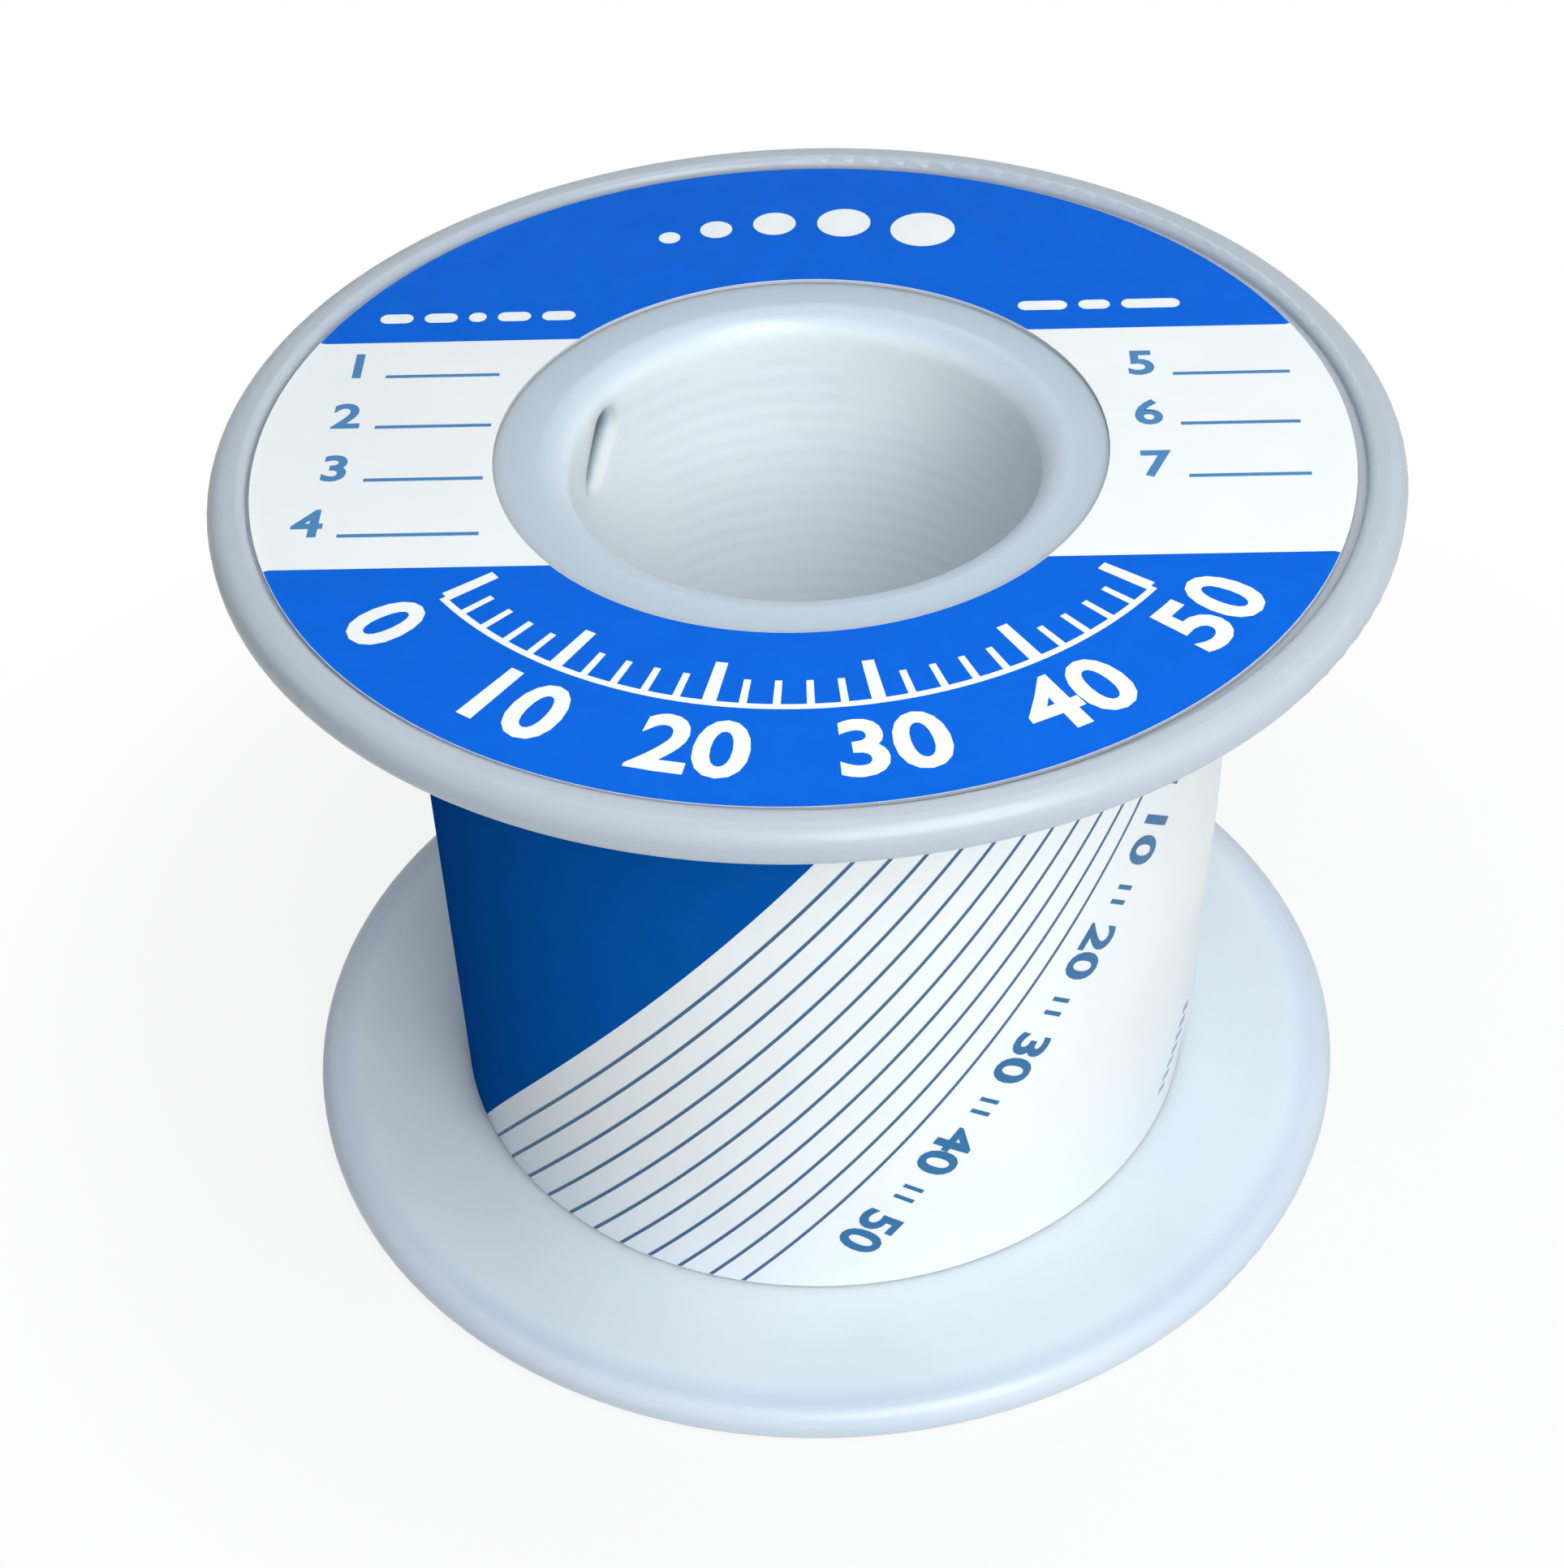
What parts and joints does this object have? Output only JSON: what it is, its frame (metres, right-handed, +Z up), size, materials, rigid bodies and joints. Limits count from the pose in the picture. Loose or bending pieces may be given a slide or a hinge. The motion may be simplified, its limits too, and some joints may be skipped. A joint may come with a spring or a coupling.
{
  "type": "solder wire reel",
  "caption": "Small flanged plastic reel wound full of solder wire, with a ring label on the top flange and a label round the winding.",
  "frame": {"origin": "centre of the plane that the reel stands on, on the axis of the bore", "axes": "+Z up the bore, from the lower flange to the labelled flange; +X and +Y in the plane of the flanges, with the chords of the face label's print along X"},
  "size_m": [0.05, 0.05, 0.036],
  "materials": {
    "reel_plastic": "milky translucent polypropylene, satin gloss",
    "solder": "bright drawn tin-lead wire",
    "face_print": "printed self-adhesive label, blue and white, satin",
    "wrap_print": "printed coated label, white with blue, glossy"
  },
  "bodies": {
    "root": {"reel": "reel_plastic", "inner_layers": "solder", "outer_turns": "solder", "face_label": "face_print", "wrap_label": "wrap_print"}
  },
  "joints": []
}
